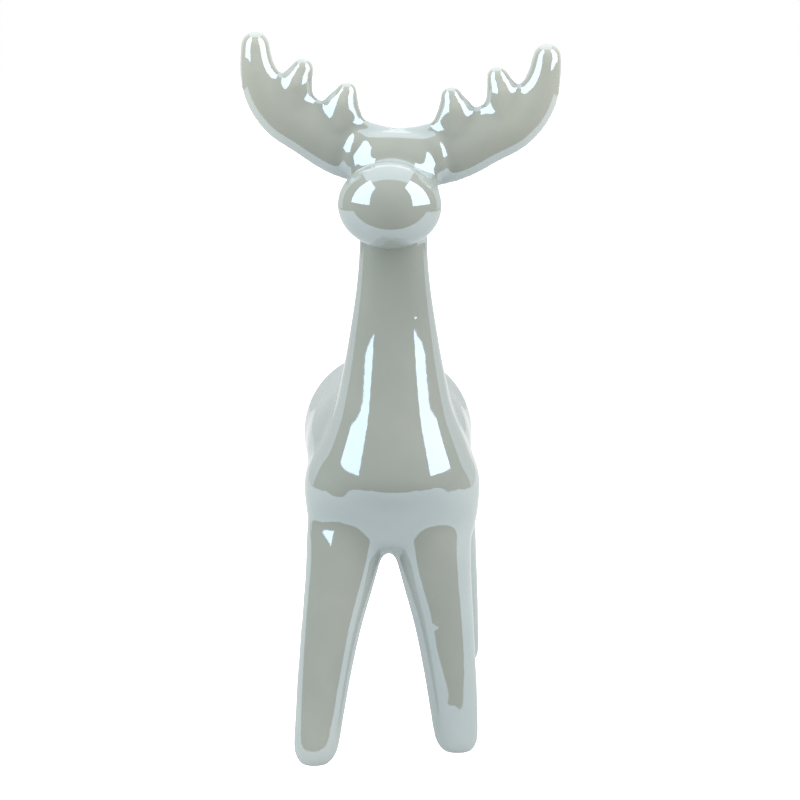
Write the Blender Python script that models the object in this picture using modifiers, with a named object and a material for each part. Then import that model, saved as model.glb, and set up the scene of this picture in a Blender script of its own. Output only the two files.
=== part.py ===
"""A standing reindeer figurine of glazed ceramic, slip-cast in one piece.

Metres, +Z up. The animal looks along -Y, its left side is at +X, and its feet stand on Z = 0.
Every limb is a loft: elliptical or squarish sections carried along a path. The lofts overlap, a voxel
remesh fuses them into one body, and smoothing gives the soft fillets of cast ceramic.
"""

import math

import bmesh
import bpy
import numpy as np
from mathutils import Matrix

MM = 0.001

# Torso: a barrel along Y, from the chest to the rump
TORSO_LENGTH = 104.0 * MM
TORSO_WIDTH = 61.6 * MM
TORSO_HEIGHT = 58.0 * MM
TORSO_AXIS_HEIGHT = 97.8 * MM
TORSO_FRONT_Y = -44.0 * MM
RUMP_SIDE_SHIFT = -1.8 * MM

# Neck: from the shoulders up to the head
CHEST_WIDTH = 57.0 * MM
CHEST_DEPTH = 74.0 * MM
CHEST_HEIGHT = 95.5 * MM
CHEST_DROP = 24.0 * MM
CHEST_FRONT_Y = -57.0 * MM
NECK_WIDTH = 22.8 * MM
NECK_DEPTH = 23.2 * MM
NECK_TOP_HEIGHT = 186.0 * MM
NECK_TOP_Y = -36.0 * MM
NECK_SIDE_SHIFT = 1.0 * MM
NECK_FULLNESS = 2.5

# Shoulders: a squarish barrel that carries the chest down to the front legs
SHOULDER_WIDTH = 60.8 * MM
SHOULDER_DEPTH = 68.0 * MM
SHOULDER_BOTTOM_HEIGHT = 73.0 * MM
SHOULDER_TOP_HEIGHT = 100.0 * MM
SHOULDER_ROUNDING = 6.0 * MM
SHOULDER_FULLNESS = 3.0
SHOULDER_X = 0.5 * MM
SHOULDER_Y = -20.0 * MM

# Legs: conical, splayed, in a slow walk
FRONT_HIP_HEIGHT = 77.0 * MM
HIND_HIP_HEIGHT = 84.0 * MM
HIP_ROUNDING = 8.0 * MM
FRONT_HIP_DEPTH = 28.8 * MM
HIND_HIP_DEPTH = 44.0 * MM
FRONT_HIP_DIAMETER = 28.8 * MM
HIND_HIP_DIAMETER = 30.6 * MM
FOOT_DIAMETER = 16.0 * MM
FOOT_ROUNDING = 5.0 * MM
FOOT_FLAT_SHARE = 0.75
FOOT_TRIM_DEPTH = 64.0 * MM
FRONT_HIP_SPREAD = 27.7 * MM
FRONT_HIP_SIDE_SHIFT = -0.65 * MM
HIND_HIP_SPREAD = 32.6 * MM
FRONT_HIP_Y = -34.6 * MM
HIND_HIP_Y = 33.0 * MM
FRONT_RIGHT_FOOT = (-25.2 * MM, -56.2 * MM)
FRONT_LEFT_FOOT = (22.6 * MM, -43.5 * MM)
HIND_LEFT_FOOT = (26.4 * MM, 59.0 * MM)
HIND_RIGHT_FOOT = (-24.6 * MM, 60.0 * MM)

# Head: a skull, a ball of a muzzle and a brow, turned and tilted a little on the neck
HEAD_CENTRE_HEIGHT = 191.5 * MM
HEAD_CENTRE_Y = -40.0 * MM
HEAD_CENTRE_X = 1.1 * MM
SKULL_WIDTH = 31.5 * MM
SKULL_LENGTH = 22.0 * MM
SKULL_HEIGHT = 30.0 * MM
SKULL_DROP = 3.0 * MM
MUZZLE_WIDTH = 34.0 * MM
MUZZLE_LENGTH = 31.0 * MM
MUZZLE_HEIGHT = 28.4 * MM
MUZZLE_REACH = 16.0 * MM
MUZZLE_DROP = 3.2 * MM
BROW_WIDTH = 31.0 * MM
BROW_LENGTH = 13.0 * MM
BROW_HEIGHT = 20.0 * MM
BROW_SETBACK = 2.6 * MM
BROW_RISE = 7.2 * MM
FOREHEAD_FULLNESS = 2.4
HEAD_TURN = math.radians(4.0)
HEAD_TILT = math.radians(2.3)

# Antlers: a flat palm with three tines, standing crosswise on the head
ANTLER_REACH = 53.5 * MM
ANTLER_RISE = 50.2 * MM
ANTLER_THICKNESS = 10.6 * MM
ANTLER_SETBACK = 7.0 * MM
ANTLER_FULLNESS = 1.75

# Ears: leaf-shaped swellings between the forehead and the antlers, their tips leaning in
EAR_WIDTH = 6.0 * MM
EAR_DEPTH = 7.0 * MM
EAR_LENGTH = 15.0 * MM
EAR_SPREAD = 28.6 * MM
EAR_SETBACK = 3.4 * MM
EAR_HEIGHT = 12.5 * MM
EAR_LEAN = math.radians(15.0)

# Tail: a small nub high on the rump
TAIL_LENGTH = 17.0 * MM
TAIL_WIDTH = 13.0 * MM
TAIL_THICKNESS = 12.0 * MM
TAIL_HEIGHT = 112.0 * MM

# Casting: how finely the lofts are fused and how far the joints are softened
FUSE_VOXEL = 1.4 * MM
BODY_SOFTEN_PASSES = 22
HEAD_SOFTEN_PASSES = 6
TRIANGLE_BUDGET = 7600

# Shares along the torso: place from chest to rump, width, height, rise of the axis
TORSO_PROFILE = (
    (0.12, 0.76, 0.76, 0.00),
    (0.28, 0.91, 0.92, 0.01),
    (0.50, 0.97, 0.99, 0.00),
    (0.70, 1.00, 1.01, 0.01),
    (0.87, 0.88, 0.90, -0.01),
)

# Shares up the neck: height from chest to neck top, flare of the width,
# flare of the depth, lean of the centre from chest to neck top
NECK_PROFILE = (
    (0.000, 1.000, 1.000, 0.000),
    (0.090, 0.830, 0.865, 0.094),
    (0.150, 0.690, 0.735, 0.212),
    (0.221, 0.544, 0.629, 0.294),
    (0.315, 0.421, 0.500, 0.394),
    (0.419, 0.304, 0.370, 0.487),
    (0.533, 0.199, 0.240, 0.575),
    (0.657, 0.097, 0.115, 0.712),
    (0.790, 0.023, 0.029, 0.854),
    (1.000, 0.000, 0.000, 1.000),
)

# Shares up the shoulders: place from bottom to top, width, depth
SHOULDER_PROFILE = (
    (0.00, 0.940, 0.815),
    (0.21, 0.975, 0.866),
    (0.46, 1.000, 0.944),
    (0.71, 1.000, 1.000),
    (1.00, 0.900, 0.905),
)

# Shares down a leg: place from hip to foot, way from hip to foot, girth from hip to foot
LEG_PROFILE = (
    (0.00, 0.00, 0.00),
    (0.24, 0.27, 0.34),
    (0.44, 0.54, 0.60),
    (0.68, 0.79, 0.81),
    (0.85, 0.93, 0.93),
    (0.94, 1.00, 1.00),
)

# Forehead: height above the head's centre, half width, half depth and setback, as shares of
# the skull's height, width, length and length
FOREHEAD_PROFILE = (
    (0.000, 0.430, 0.409, 0.136),
    (0.180, 0.440, 0.388, 0.143),
    (0.312, 0.450, 0.353, 0.153),
    (0.467, 0.455, 0.300, 0.191),
    (0.585, 0.455, 0.255, 0.255),
)

# An antler in shares: reach from the middle plane, rise above the head's centre,
# and half width as a share of the reach
PALM_PATH = (
    (0.02, 0.224, 0.178),
    (0.15, 0.230, 0.194),
    (0.336, 0.278, 0.199),
    (0.553, 0.389, 0.183),
    (0.710, 0.489, 0.180),
    (0.809, 0.585, 0.155),
    (0.865, 0.679, 0.130),
    (0.893, 0.778, 0.108),
    (0.907, 0.908, 0.090),
)
MIDDLE_TINE_PATH = (
    (0.668, 0.516, 0.150),
    (0.659, 0.612, 0.133),
    (0.636, 0.690, 0.102),
    (0.617, 0.738, 0.083),
    (0.606, 0.766, 0.071),
)
INNER_TINE_PATH = (
    (0.364, 0.399, 0.148),
    (0.358, 0.489, 0.137),
    (0.347, 0.559, 0.111),
    (0.334, 0.599, 0.089),
    (0.326, 0.626, 0.071),
)


def smooth_rows(rows, count):
    """Rows resampled evenly along a cubic curve that passes through each of them."""
    rows = np.array(rows, float)
    steps = np.linalg.norm(np.diff(rows[:, :3], axis=0), axis=1)
    at = np.concatenate([[0.0], np.cumsum(steps)])
    slopes = np.gradient(rows, at, axis=0)
    wanted = np.linspace(0.0, at[-1], count)
    i = np.clip(np.searchsorted(at, wanted) - 1, 0, len(at) - 2)
    span = (at[i + 1] - at[i])[:, None]
    t = (wanted - at[i])[:, None] / span
    return (
        (2 * t**3 - 3 * t**2 + 1) * rows[i]
        + (t**3 - 2 * t**2 + t) * span * slopes[i]
        + (3 * t**2 - 2 * t**3) * rows[i + 1]
        + (t**3 - t**2) * span * slopes[i + 1]
    )


def round_ends(rows, first_cap, last_cap, steps=6):
    """Adds sections past both ends that close in like a quarter of an ellipse."""
    angles = np.linspace(0.0, math.radians(86.0), steps + 1)[1:]
    shrink, forward = np.cos(angles)[:, None], np.sin(angles)[:, None]

    def cap(end, inner, length):
        way = end[:3] - inner[:3]
        way = way / np.linalg.norm(way)
        return np.hstack([end[:3] + forward * way * length, shrink * end[3:]])

    first = cap(rows[0], rows[1], first_cap)[::-1]
    last = cap(rows[-1], rows[-2], last_cap)
    return np.vstack([first, rows, last])


def loft(name, rows, across, through, segments=32, fullness=2.0):
    """A closed body from rows of (x, y, z, half size along across, half size along through).

    Each section is a superellipse: fullness 2 is an ellipse, and more squares it off.
    """
    angles = 2 * math.pi * np.arange(segments) / segments
    ring_u = np.sign(np.cos(angles)) * np.abs(np.cos(angles)) ** (2.0 / fullness)
    ring_v = np.sign(np.sin(angles)) * np.abs(np.sin(angles)) ** (2.0 / fullness)
    bm = bmesh.new()
    before = None
    for row, u_axis, v_axis in zip(rows, across, through):
        points = row[:3] + np.outer(ring_u * row[3], u_axis) + np.outer(ring_v * row[4], v_axis)
        ring = bmesh.ops.create_circle(bm, segments=segments, radius=1.0)["verts"]
        for vert, point in zip(ring, points):
            vert.co = point
        edges = [e for e in bm.edges if e.verts[0] in ring]
        if before is None:
            bmesh.ops.contextual_create(bm, geom=ring)
        else:
            bmesh.ops.bridge_loops(bm, edges=before + edges)
        before = edges
    bmesh.ops.contextual_create(bm, geom=ring)
    bmesh.ops.recalc_face_normals(bm, faces=bm.faces)
    mesh = bpy.data.meshes.new(name)
    bm.to_mesh(mesh)
    bm.free()
    return bpy.data.objects.new(name, mesh)


def straight_loft(name, rows, across, through, **options):
    """A loft whose sections all stay parallel."""
    count = len(rows)
    return loft(name, rows, [across] * count, [through] * count, **options)


def flat_loft(name, rows, **options):
    """A loft along a path in the XZ plane, whose sections turn with the path."""
    way = np.gradient(rows[:, :3], axis=0)
    way[:, 1] = 0.0
    way /= np.linalg.norm(way, axis=1)[:, None]
    across = np.stack([-way[:, 2], np.zeros(len(rows)), way[:, 0]], axis=1)
    return loft(name, rows, across, [(0.0, 1.0, 0.0)] * len(rows), **options)


def make_torso():
    rows = [
        (
            place * RUMP_SIDE_SHIFT,
            TORSO_FRONT_Y + place * TORSO_LENGTH,
            TORSO_AXIS_HEIGHT + rise * TORSO_HEIGHT,
            width * TORSO_WIDTH / 2,
            height * TORSO_HEIGHT / 2,
        )
        for place, width, height, rise in TORSO_PROFILE
    ]
    chest_cap = TORSO_PROFILE[0][0] * TORSO_LENGTH
    rump_cap = (1.0 - TORSO_PROFILE[-1][0]) * TORSO_LENGTH
    rows = round_ends(smooth_rows(rows, 26), chest_cap, rump_cap, steps=8)
    return straight_loft("torso", rows, (1, 0, 0), (0, 0, 1), segments=48)


def make_neck():
    chest_y = CHEST_FRONT_Y + CHEST_DEPTH / 2
    rows = [
        (
            NECK_SIDE_SHIFT,
            chest_y + lean * (NECK_TOP_Y - chest_y),
            CHEST_HEIGHT + place * (NECK_TOP_HEIGHT - CHEST_HEIGHT),
            (NECK_WIDTH + flare * (CHEST_WIDTH - NECK_WIDTH)) / 2,
            (NECK_DEPTH + flare_deep * (CHEST_DEPTH - NECK_DEPTH)) / 2,
        )
        for place, flare, flare_deep, lean in NECK_PROFILE
    ]
    rows = round_ends(smooth_rows(rows, 44), CHEST_DROP, NECK_WIDTH / 2)
    return straight_loft(
        "neck", rows, (1, 0, 0), (0, 1, 0), segments=48, fullness=NECK_FULLNESS
    )


def make_shoulders():
    """The front of the barrel, squarer than the chest and flush with the front legs."""
    rows = [
        (
            SHOULDER_X,
            SHOULDER_Y,
            SHOULDER_BOTTOM_HEIGHT + place * (SHOULDER_TOP_HEIGHT - SHOULDER_BOTTOM_HEIGHT),
            width * SHOULDER_WIDTH / 2,
            depth * SHOULDER_DEPTH / 2,
        )
        for place, width, depth in SHOULDER_PROFILE
    ]
    rows = round_ends(smooth_rows(rows, 16), SHOULDER_ROUNDING, SHOULDER_ROUNDING)
    return straight_loft(
        "shoulders", rows, (1, 0, 0), (0, 1, 0), segments=48, fullness=SHOULDER_FULLNESS
    )


def make_leg(name, side, hip, foot):
    """A cone from the hip down to a rounded foot, which the floor cutter trims flat."""
    side_shift, half_spread, hip_y, hip_height, hip_diameter, hip_depth = hip
    hip_x = side_shift + side * half_spread
    cap = FOOT_ROUNDING / math.sqrt(1.0 - FOOT_FLAT_SHARE**2)
    ankle_share = LEG_PROFILE[-1][0]
    rows = []
    for place, way, thinning in LEG_PROFILE:
        height = hip_height + (FOOT_ROUNDING - hip_height) * place / ankle_share
        radius = (hip_diameter + thinning * (FOOT_DIAMETER - hip_diameter)) / 2
        extra_depth = (hip_depth - hip_diameter) / 2 * (1.0 - thinning) ** 2
        x = hip_x + way * (foot[0] - hip_x)
        y = hip_y + place / ankle_share * (foot[1] - hip_y)
        rows.append((x, y, height, radius, radius + extra_depth))
    rows = round_ends(smooth_rows(rows, 30), HIP_ROUNDING, cap)
    return straight_loft(name, rows, (1, 0, 0), (0, 1, 0), segments=36)


def make_egg(name, centre, size):
    """An ellipsoid of the given size."""
    bm = bmesh.new()
    place = Matrix.Translation(centre) @ Matrix.Diagonal((*size, 1.0))
    bmesh.ops.create_uvsphere(bm, u_segments=48, v_segments=24, radius=0.5, matrix=place)
    mesh = bpy.data.meshes.new(name)
    bm.to_mesh(mesh)
    bm.free()
    return bpy.data.objects.new(name, mesh)


def make_antler_part(name, path, side, count):
    """The palm or a tine of one antler, in the head's own frame."""
    rows = [
        (
            side * reach * ANTLER_REACH,
            ANTLER_SETBACK,
            rise * ANTLER_RISE,
            half_width * ANTLER_REACH,
            min(ANTLER_THICKNESS / 2, half_width * ANTLER_REACH),
        )
        for reach, rise, half_width in path
    ]
    tip = rows[-1][3]
    rows = round_ends(smooth_rows(rows, count), tip, tip)
    return flat_loft(name, rows, segments=32, fullness=ANTLER_FULLNESS)


def make_forehead():
    """The upright forehead between the ball of the muzzle and the antlers."""
    rows = [
        (
            0.0,
            setback * SKULL_LENGTH,
            height * SKULL_HEIGHT,
            half_width * SKULL_WIDTH,
            half_depth * SKULL_LENGTH,
        )
        for height, half_width, half_depth, setback in FOREHEAD_PROFILE
    ]
    cap = ANTLER_THICKNESS / 4
    rows = round_ends(smooth_rows(rows, 14), cap, cap)
    return straight_loft(
        "forehead", rows, (1, 0, 0), (0, 1, 0), segments=40, fullness=FOREHEAD_FULLNESS
    )


def make_ear(name, side):
    """A leaf-shaped swelling against the root of an antler."""
    ear = make_egg(name, (0, 0, 0), (EAR_WIDTH, EAR_DEPTH, EAR_LENGTH))
    place = Matrix.Translation((side * EAR_SPREAD / 2, EAR_SETBACK, EAR_HEIGHT))
    ear.data.transform(place @ Matrix.Rotation(-side * EAR_LEAN, 4, "Y"))
    return ear


def make_head():
    """The skull, muzzle, ears and antlers, made round the head's centre, then set on the neck."""
    parts = [
        make_egg("skull", (0, 0, -SKULL_DROP), (SKULL_WIDTH, SKULL_LENGTH, SKULL_HEIGHT)),
        make_egg(
            "muzzle",
            (0, -MUZZLE_REACH, -MUZZLE_DROP),
            (MUZZLE_WIDTH, MUZZLE_LENGTH, MUZZLE_HEIGHT),
        ),
        make_egg(
            "brow",
            (0, BROW_SETBACK, BROW_RISE),
            (BROW_WIDTH, BROW_LENGTH, BROW_HEIGHT),
        ),
        make_forehead(),
    ]
    for side, word in ((1, "left"), (-1, "right")):
        parts.append(make_ear(f"ear_{word}", side))
        parts.append(make_antler_part(f"palm_{word}", PALM_PATH, side, 30))
        parts.append(make_antler_part(f"middle_tine_{word}", MIDDLE_TINE_PATH, side, 14))
        parts.append(make_antler_part(f"inner_tine_{word}", INNER_TINE_PATH, side, 14))
    pose = (
        Matrix.Translation((HEAD_CENTRE_X, HEAD_CENTRE_Y, HEAD_CENTRE_HEIGHT))
        @ Matrix.Rotation(-HEAD_TURN, 4, "Z")
        @ Matrix.Rotation(HEAD_TILT, 4, "Y")
    )
    for part in parts:
        part.data.transform(pose)
    return parts


def make_tail():
    """A small nub on the rump, two thirds sunk into it."""
    rump_y = TORSO_FRONT_Y + TORSO_LENGTH
    centre = (0, rump_y - TAIL_LENGTH / 4, TAIL_HEIGHT)
    return make_egg("tail", centre, (TAIL_WIDTH, TAIL_LENGTH, TAIL_THICKNESS))


def glazed_ceramic():
    """Grey-green glaze with a pearl lustre."""
    material = bpy.data.materials.new("pearl_glaze")
    material.use_nodes = True
    shader = material.node_tree.nodes["Principled BSDF"]
    shader.inputs["Base Color"].default_value = (0.36, 0.39, 0.35, 1.0)
    shader.inputs["Metallic"].default_value = 0.25
    shader.inputs["Roughness"].default_value = 0.12
    return material


def floor_cutter(collection, figure):
    """A slab under Z = 0 that trims the feet flat."""
    bpy.ops.mesh.primitive_cube_add(size=1.0)
    cutter = bpy.context.object
    cutter.name = "floor_cutter"
    width, length = figure.dimensions.x, figure.dimensions.y
    place = Matrix.Translation((0, 0, -FOOT_TRIM_DEPTH / 2))
    size = Matrix.Diagonal((3 * width, 3 * length, FOOT_TRIM_DEPTH, 1))
    cutter.data.transform(place @ size)
    cutter.hide_render = True
    cutter.display_type = "WIRE"
    for owner in list(cutter.users_collection):
        owner.objects.unlink(cutter)
    collection.objects.link(cutter)
    return cutter


def fuse(parts, name, collection, soften_passes):
    """Joins the lofts into one closed skin and softens the creases where they meet."""
    for part in parts:
        if not part.users_collection:
            collection.objects.link(part)
    with bpy.context.temp_override(
        active_object=parts[0], object=parts[0], selected_editable_objects=parts
    ):
        bpy.ops.object.join()
    figure = parts[0]
    figure.name = name
    remesh = figure.modifiers.new("fuse", "REMESH")
    remesh.mode = "VOXEL"
    remesh.voxel_size = FUSE_VOXEL
    soften = figure.modifiers.new("soften", "SMOOTH")
    soften.factor = 0.5
    soften.iterations = soften_passes
    return baked(figure)


def baked(figure):
    """The figure's mesh with its modifiers applied."""
    graph = bpy.context.evaluated_depsgraph_get()
    mesh = bpy.data.meshes.new_from_object(figure.evaluated_get(graph))
    figure.modifiers.clear()
    old = figure.data
    figure.data = mesh
    bpy.data.meshes.remove(old)
    return figure


def thin_out(figure):
    """Brings the skin down to the triangle budget, keeping the curved places finest."""
    triangles = sum(len(p.vertices) - 2 for p in figure.data.polygons)
    decimate = figure.modifiers.new("thin_out", "DECIMATE")
    decimate.ratio = min(1.0, TRIANGLE_BUDGET / triangles)
    return baked(figure)


def centre_on_footprint(figure):
    """Moves the figure so that its box is centred on X and Y, with its feet left on Z = 0."""
    points = np.array([v.co for v in figure.data.vertices])
    middle = (points.min(axis=0) + points.max(axis=0)) / 2
    figure.data.transform(Matrix.Translation((-middle[0], -middle[1], 0)))


def main():
    for old in list(bpy.data.objects):
        bpy.data.objects.remove(old)
    scene = bpy.context.scene
    collection = bpy.data.collections.new("reindeer_figurine")
    cutters = bpy.data.collections.new("cutters")
    scene.collection.children.link(collection)
    scene.collection.children.link(cutters)

    front = (
        FRONT_HIP_SIDE_SHIFT,
        FRONT_HIP_SPREAD / 2,
        FRONT_HIP_Y,
        FRONT_HIP_HEIGHT,
        FRONT_HIP_DIAMETER,
        FRONT_HIP_DEPTH,
    )
    hind = (
        0.0,
        HIND_HIP_SPREAD / 2,
        HIND_HIP_Y,
        HIND_HIP_HEIGHT,
        HIND_HIP_DIAMETER,
        HIND_HIP_DEPTH,
    )
    legs = (
        ("leg_front_right", -1, front, FRONT_RIGHT_FOOT),
        ("leg_front_left", 1, front, FRONT_LEFT_FOOT),
        ("leg_hind_right", -1, hind, HIND_RIGHT_FOOT),
        ("leg_hind_left", 1, hind, HIND_LEFT_FOOT),
    )
    body_parts = [
        make_torso(),
        make_shoulders(),
        make_neck(),
        *(make_leg(*leg) for leg in legs),
        make_tail(),
    ]
    body = fuse(body_parts, "body", collection, BODY_SOFTEN_PASSES)
    figure = fuse([body, *make_head()], "reindeer", collection, HEAD_SOFTEN_PASSES)
    thin_out(figure)
    centre_on_footprint(figure)
    figure.data.materials.append(glazed_ceramic())
    figure.data.shade_smooth()
    bpy.context.view_layer.update()

    trim = figure.modifiers.new("flat_feet", "BOOLEAN")
    trim.operation = "DIFFERENCE"
    trim.object = floor_cutter(cutters, figure)


main()
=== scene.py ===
"""The looks of a standing reindeer figurine: one hollow casting under a pearl-lustre glaze.

Metres, +Z up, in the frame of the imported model. The animal looks along -Y and its left side
is at +X. The skin is fused from swept sections and softened, as glaze softens a slip casting.
"""

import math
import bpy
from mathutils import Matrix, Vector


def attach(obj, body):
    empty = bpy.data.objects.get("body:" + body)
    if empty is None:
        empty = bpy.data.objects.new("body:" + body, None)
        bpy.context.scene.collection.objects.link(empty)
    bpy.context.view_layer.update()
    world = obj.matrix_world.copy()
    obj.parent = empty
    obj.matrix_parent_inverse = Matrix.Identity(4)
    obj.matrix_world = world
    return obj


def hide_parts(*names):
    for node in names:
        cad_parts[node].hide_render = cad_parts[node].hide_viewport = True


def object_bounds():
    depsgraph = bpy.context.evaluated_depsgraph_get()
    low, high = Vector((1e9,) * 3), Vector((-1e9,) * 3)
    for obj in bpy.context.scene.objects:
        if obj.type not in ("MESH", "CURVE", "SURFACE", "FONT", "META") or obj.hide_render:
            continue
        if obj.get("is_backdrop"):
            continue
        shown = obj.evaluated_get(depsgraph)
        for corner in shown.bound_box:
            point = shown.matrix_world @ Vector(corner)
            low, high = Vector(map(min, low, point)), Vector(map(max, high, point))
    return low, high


bl_info = {
    "name": "Ceramic Reindeer Figurine",
    "version": (1, 0, 0),
    "blender": (4, 5, 0),
    "location": "3D Viewport > Sidebar > Reindeer",
    "description": "Models a glazed ceramic reindeer and the studio it stands in",
    "category": "Object",
}

import bpy
import numpy as np
from bpy.props import FloatProperty, FloatVectorProperty, PointerProperty
from mathutils import Euler, Matrix, Vector

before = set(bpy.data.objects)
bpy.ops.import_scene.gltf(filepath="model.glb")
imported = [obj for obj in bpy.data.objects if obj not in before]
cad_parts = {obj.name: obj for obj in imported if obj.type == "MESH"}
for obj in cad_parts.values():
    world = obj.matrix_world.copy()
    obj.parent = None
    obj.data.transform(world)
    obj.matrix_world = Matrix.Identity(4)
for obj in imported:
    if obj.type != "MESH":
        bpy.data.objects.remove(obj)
CAD_LOW, CAD_HIGH = (tuple(corner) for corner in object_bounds())
CAD_NODE = "reindeer"

MM = 0.001
ALONG_X = (1.0, 0.0, 0.0)
ALONG_Y = (0.0, 1.0, 0.0)
ALONG_Z = (0.0, 0.0, 1.0)

# How finely the parts are swept: points round a section, and sections along each part
SECTION_POINTS = 96
TRUNK_SECTION_POINTS = 160
CAP_SECTIONS = 14
EGG_SECTIONS = 73
TORSO_SECTIONS = 120
SHOULDER_SECTIONS = 60
NECK_SECTIONS = 160
LEG_SECTIONS = 110
FOREHEAD_SECTIONS = 50
ANTLER_SECTIONS = 90

# How finely the skin is fused, and how many passes soften each stage
BODY_VOXEL = 1.1 * MM
SKIN_VOXEL = 0.90 * MM
BODY_SOFTEN_PASSES = 36
SKIN_SOFTEN_PASSES = 13
SOFTEN_FACTOR = 0.5

# The skin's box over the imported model's, at most
FIT_SHARE = 0.9995

# Torso: place from chest to rump, width, height and rise of the axis, as shares
TORSO_PROFILE = (
    (0.12, 0.76, 0.76, 0.00),
    (0.28, 0.91, 0.92, 0.01),
    (0.50, 0.97, 0.99, 0.00),
    (0.70, 1.00, 1.01, 0.01),
    (0.87, 0.88, 0.90, -0.01),
)

# Neck: height from chest to neck top, flare of the width, flare of the depth, lean
NECK_PROFILE = (
    (0.000, 1.000, 1.000, 0.000),
    (0.090, 0.830, 0.865, 0.094),
    (0.150, 0.690, 0.735, 0.212),
    (0.221, 0.544, 0.629, 0.294),
    (0.315, 0.421, 0.500, 0.394),
    (0.419, 0.304, 0.370, 0.487),
    (0.533, 0.199, 0.240, 0.575),
    (0.657, 0.097, 0.115, 0.712),
    (0.790, 0.023, 0.029, 0.854),
    (1.000, 0.000, 0.000, 1.000),
)

# Shoulders: place from bottom to top, width and depth, as shares
SHOULDER_PROFILE = (
    (0.00, 0.940, 0.815),
    (0.21, 0.975, 0.866),
    (0.46, 1.000, 0.944),
    (0.71, 1.000, 1.000),
    (1.00, 0.900, 0.905),
)

# Leg: place from hip to foot, way across the floor from hip to foot, thinning
LEG_PROFILE = (
    (0.00, 0.00, 0.00),
    (0.24, 0.27, 0.34),
    (0.44, 0.54, 0.60),
    (0.68, 0.79, 0.81),
    (0.85, 0.93, 0.93),
    (0.94, 1.00, 1.00),
)

# Forehead: height above the head's centre, half width, half depth and setback, as shares of
# the skull's height, width, length and length
FOREHEAD_PROFILE = (
    (0.000, 0.430, 0.409, 0.136),
    (0.180, 0.440, 0.388, 0.143),
    (0.312, 0.450, 0.353, 0.153),
    (0.467, 0.455, 0.300, 0.191),
    (0.585, 0.455, 0.255, 0.255),
)

# Antler: reach from the middle plane, rise above the head's centre, half width,
# as shares of the reach, the rise and the reach
PALM_PATH = (
    (0.02, 0.224, 0.178),
    (0.15, 0.230, 0.194),
    (0.336, 0.278, 0.199),
    (0.553, 0.389, 0.183),
    (0.710, 0.489, 0.180),
    (0.809, 0.585, 0.155),
    (0.865, 0.679, 0.130),
    (0.893, 0.778, 0.108),
    (0.907, 0.908, 0.090),
)
MIDDLE_TINE_PATH = (
    (0.668, 0.516, 0.150),
    (0.659, 0.612, 0.133),
    (0.636, 0.690, 0.102),
    (0.617, 0.738, 0.083),
    (0.606, 0.766, 0.071),
)
INNER_TINE_PATH = (
    (0.364, 0.399, 0.148),
    (0.358, 0.489, 0.137),
    (0.347, 0.559, 0.111),
    (0.334, 0.599, 0.089),
    (0.326, 0.626, 0.071),
)

# How square a section is: 2 is an ellipse, more squares it off and less makes it leaner
NECK_FULLNESS = 2.5
SHOULDER_FULLNESS = 3.0
FOREHEAD_FULLNESS = 2.4
ANTLER_FULLNESS = 1.75

# Foot: its round end over its rounding height, past 1 so that the floor leaves a flat
FOOT_CAP_SHARE = 1.51

# Glaze: how strongly it pools with the curvature, over how many passes that is averaged, and
# how much has run down from the antlers
POOLING = 2.4 * MM
POOLING_PASSES = 12
RUN_DOWN_HEIGHTS = (185.0 * MM, 225.0 * MM)
RUN_DOWN_SHARE = 0.22

# Glaze pimples: x, y, z on the front of the neck and of the left front leg, and height; how
# wide they spread, and how far behind its centre a pimple still lifts the skin
PIMPLES = (
    (8.8 * MM, -50.0 * MM, 149.0 * MM, 0.14 * MM),
    (15.6 * MM, -50.0 * MM, 45.5 * MM, 0.28 * MM),
)
PIMPLE_RADIUS = 0.85 * MM
PIMPLE_DEPTH = 12.0 * MM

# Glaze colour: noise cycles per metre and octaves, how far it shifts the thickness, and the
# thicknesses where the thin, the body and the pooled colour stand
COLOUR_NOISE = (22.0, 3.0)
COLOUR_DRIFT = 0.13
COLOUR_STOPS = (0.08, 0.46, 0.92)

# Glaze gloss and waves: noise cycles per metre and octaves, shares of the roughness, bump
GLOSS_NOISE = (90.0, 2.0)
GLOSS_SHARES = (0.8, 1.25)
WAVE_NOISE = (75.0, 1.0)
WAVE_STRENGTH = 0.35
WAVE_HEIGHT = 0.10 * MM
NOISE_BAND = (0.3, 0.7)

# Bare clay: heights between which it gives way to glaze, and how much rougher it is
BARE_HEIGHTS = (0.1 * MM, 0.35 * MM)
BARE_ROUGHNESS = 0.6

# Studio sheets: colour and glow of each, half widths, edges along Y, height
SHEET_ROUGHNESS = 0.9
FLOOR_WHITE = (0.93, 0.93, 0.93)
FLOOR_GLOW = 1.0
FLOOR_HALF = 8.0
FLOOR_HEIGHT = -0.0004
TABLE_WHITE = (0.60, 0.60, 0.60)
TABLE_GLOW = 0.60
TABLE_HALF = 0.9
TABLE_HEIGHT = -0.0008
BACKDROP_WHITE = (0.50, 0.50, 0.50)
BACKDROP_GLOW = 0.20
BACKDROP_HALF = 1.1
BACKDROP_FRONT_Y = 0.70
BACKDROP_BACK_Y = 1.2
BACKDROP_HEIGHT = 1.6

# Side softboxes: side, name, lowest point, front and back edge along Y, tint
SIDE_LIGHT_X = 0.90
SIDE_LIGHT_TOP = 1.80
SIDE_LIGHTS = (
    (-1, "right", 0.285, -1.00, -0.06, (0.88, 0.94, 1.0)),
    (1, "left", 0.245, -0.88, 0.04, (0.96, 0.96, 1.0)),
)

# Softbox overhead: place, the point it faces, size and tint
TOP_LIGHT_PLACE = (-0.05, 0.45, 1.05)
TOP_LIGHT_AIM = (-0.05, 0.449, 0.0)
TOP_LIGHT_SIZE = (1.05, 1.3)
TOP_LIGHT_TINT = (0.97, 0.99, 1.0)

# The room: tint of its soft light, tint of what the glaze mirrors, white behind the figure
TENT_TINT = (0.98, 1.0, 0.97)
DARK_TINT = (1.0, 1.0, 0.97)
SKY_WHITE = (1.0, 1.0, 1.0)
SKY_STRENGTH = 1.0

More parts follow.
